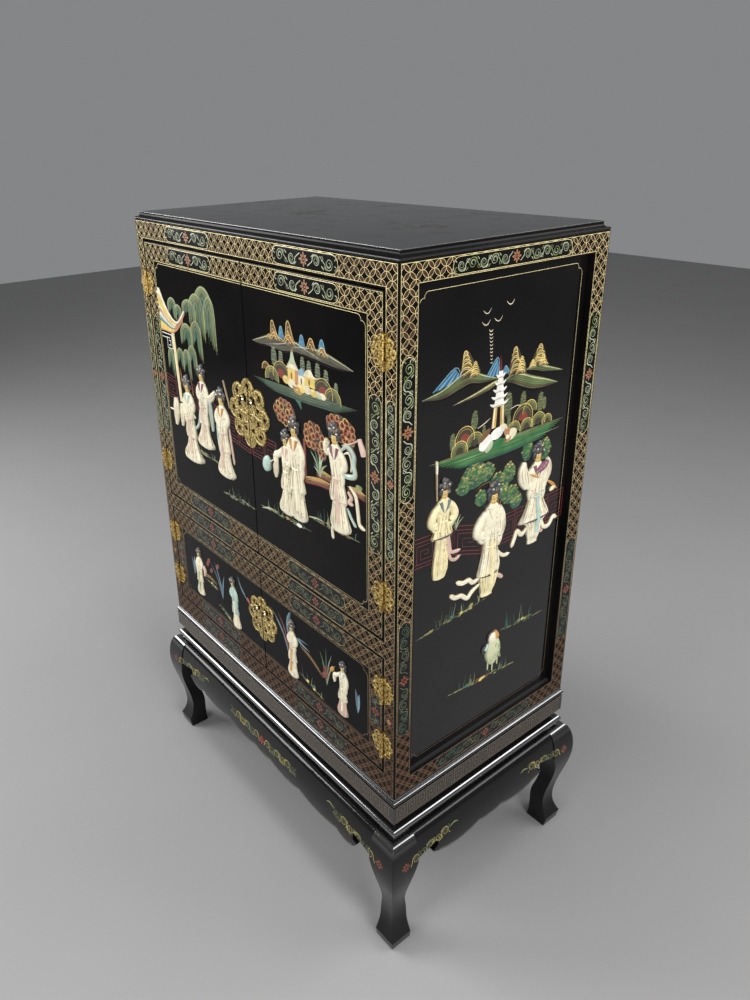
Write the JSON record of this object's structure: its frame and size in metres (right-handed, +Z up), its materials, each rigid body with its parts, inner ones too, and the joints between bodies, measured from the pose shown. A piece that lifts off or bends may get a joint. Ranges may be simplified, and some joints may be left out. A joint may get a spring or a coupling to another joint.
{
  "type": "cabinet on stand",
  "caption": "Black lacquered cabinet on a cabriole-legged stand, with hinged upper and lower doors, pierced brass hinges and lock plates, and carved stone figures in relief.",
  "frame": {"origin": "on the floor under the middle of the cabinet", "axes": "+Z up, +X to the right seen from the front, -Y out of the doors"},
  "size_m": [0.791, 0.485, 1.203],
  "materials": {
    "lacquer": "wood under gloss black lacquer, with painted gold and coloured ornament",
    "inner_wood": "plain wood stained dark red-brown, satin",
    "brass": "pierced and engraved brass, lightly tarnished",
    "soapstone": "carved cream soapstone, polished, with tinted details"
  },
  "bodies": {
    "cabinet": {"leg_front_left": "lacquer", "leg_front_right": "lacquer", "leg_rear_left": "lacquer", "leg_rear_right": "lacquer", "apron_front": "lacquer", "apron_rear": "lacquer", "apron_left": "lacquer", "apron_right": "lacquer", "stand_rail_front": "lacquer", "stand_rail_rear": "lacquer", "stand_rail_left": "lacquer", "stand_rail_right": "lacquer", "base_moulding_front": "lacquer", "base_moulding_rear": "lacquer", "base_moulding_left": "lacquer", "base_moulding_right": "lacquer", "front_post_left": "lacquer", "front_post_right": "lacquer", "rear_post_left": "lacquer", "rear_post_right": "lacquer", "front_top_rail": "lacquer", "front_middle_rail": "lacquer", "front_bottom_rail": "lacquer", "rear_top_rail": "lacquer", "rear_bottom_rail": "lacquer", "side_top_rails": "lacquer", "side_bottom_rails": "lacquer", "side_panel_left": "lacquer", "side_panel_right": "lacquer", "top_board": "lacquer", "back_panel": "inner_wood", "bottom_board": "inner_wood", "middle_board": "inner_wood", "shelf": "inner_wood", "shelf_bearers": "inner_wood", "door_stops": "inner_wood", "hinge_frame_leaves": "brass", "hinge_pins": "brass", "left_side_figures": "soapstone", "right_side_figures": "soapstone"},
    "upper_left_door": {"upper_left_door": "lacquer", "upper_left_hinge_leaves": "brass", "upper_left_lock_plate": "brass", "upper_left_lock_staple": "brass", "upper_left_figures": "soapstone"},
    "upper_right_door": {"upper_right_door": "lacquer", "upper_right_hinge_leaves": "brass", "upper_right_lock_plate": "brass", "upper_right_lock_staple": "brass", "upper_right_figures": "soapstone"},
    "lower_left_door": {"lower_left_door": "lacquer", "lower_left_hinge_leaves": "brass", "lower_left_lock_plate": "brass", "lower_left_lock_staple": "brass", "lower_left_figures": "soapstone"},
    "lower_right_door": {"lower_right_door": "lacquer", "lower_right_hinge_leaves": "brass", "lower_right_lock_plate": "brass", "lower_right_lock_staple": "brass", "lower_right_figures": "soapstone"}
  },
  "joints": [
    {"name": "upper_left_door_swing", "type": "hinge", "parent": "cabinet", "child": "upper_left_door", "pos_m": [-0.34225, -0.2206, 0.8895], "axis": [0, 0, -1], "range_deg": [0, 170]},
    {"name": "upper_right_door_swing", "type": "hinge", "parent": "cabinet", "child": "upper_right_door", "pos_m": [0.34225, -0.2206, 0.8895], "axis": [0, 0, 1], "range_deg": [0, 170]},
    {"name": "lower_left_door_swing", "type": "hinge", "parent": "cabinet", "child": "lower_left_door", "pos_m": [-0.34225, -0.2206, 0.482], "axis": [0, 0, -1], "range_deg": [0, 170]},
    {"name": "lower_right_door_swing", "type": "hinge", "parent": "cabinet", "child": "lower_right_door", "pos_m": [0.34225, -0.2206, 0.482], "axis": [0, 0, 1], "range_deg": [0, 170]}
  ]
}
